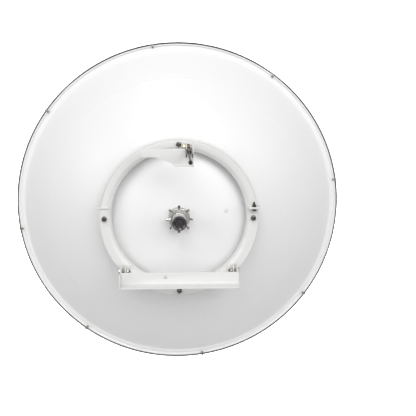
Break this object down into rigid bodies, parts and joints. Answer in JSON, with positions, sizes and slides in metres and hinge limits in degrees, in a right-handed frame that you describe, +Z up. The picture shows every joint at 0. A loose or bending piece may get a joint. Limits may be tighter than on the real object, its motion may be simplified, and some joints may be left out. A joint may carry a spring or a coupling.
{
  "type": "1.2 m prime-focus microwave dish with pole mount and elevation adjuster",
  "caption": "A spun, white-painted microwave dish seen from behind, on a bolted mounting ring, with its pole cradle, threaded elevation adjuster and a clamped central feed.",
  "frame": {"origin": "On the flat seat of the cradle's web where the mast stands, level with the elevation axis, on the mast's centreline.", "axes": "+Y is the way the dish looks, +Z is up, and +X is to the right for someone behind the dish."},
  "size_m": [1.2, 0.7117, 1.2],
  "materials": {
    "white_paint": "satin",
    "bare_metal": "satin",
    "zinc": "satin",
    "yellow_zinc": "satin",
    "machined_aluminium": "satin",
    "dark_metal": "gloss",
    "cream_plastic": "matte",
    "black_rubber": "matte"
  },
  "bodies": {
    "mast_side": {"cross_member": "white_paint", "arm_left": "white_paint", "arm_right": "white_paint", "pivot_bolt_left": "zinc", "pivot_bolt_right": "zinc", "top_bracket": "white_paint", "adjuster_fork": "zinc", "adjuster_nut_front": "zinc", "adjuster_nut_back": "zinc"},
    "dish": {"reflector": "white_paint", "ring_upper": "white_paint", "ring_lower": "white_paint", "standoff_right": "white_paint", "standoff_top": "white_paint", "standoff_left": "white_paint", "standoff_bottom": "white_paint", "pivot_lug_left": "white_paint", "pivot_lug_right": "white_paint", "top_lug": "white_paint", "rim_clip_1": "zinc", "rim_clip_2": "zinc", "rim_clip_3": "zinc", "rim_clip_4": "zinc", "rim_clip_5": "zinc", "rim_clip_6": "zinc", "rim_clip_7": "zinc", "rim_clip_8": "zinc", "ring_bolt_right": "zinc", "ring_bolt_top": "zinc", "ring_bolt_left": "zinc", "ring_bolt_bottom": "zinc", "joint_bolt_left": "zinc", "joint_bolt_right": "zinc", "rim_hoop": "bare_metal", "top_pivot_bolt": "yellow_zinc", "feed_collar": "machined_aluminium"},
    "adjuster": {"adjuster_rod": "zinc", "rod_cap": "black_rubber"},
    "feed": {"feed_tube": "machined_aluminium", "feed_socket": "dark_metal", "feed_cone": "cream_plastic", "splash_plate": "machined_aluminium"}
  },
  "joints": [
    {"name": "elevation", "type": "hinge", "parent": "mast_side", "child": "dish", "pos_m": [0.112, 0.103, 0], "axis": [1, 0, 0], "range_deg": [-8, 2]},
    {"name": "rod_pivot", "type": "hinge", "parent": "dish", "child": "adjuster", "pos_m": [0.144, 0.1, 0.43954], "axis": [1, 0, 0], "range_deg": [-1.8, 7]},
    {"name": "feed_turn", "type": "hinge", "parent": "dish", "child": "feed", "pos_m": [0.112, 0.13754, 0.18304], "axis": [0, 1, 0], "range_deg": [-45, 45]}
  ],
  "couplings": [
    {"joint": "rod_pivot", "follows": "elevation", "ratio": -0.86}
  ]
}
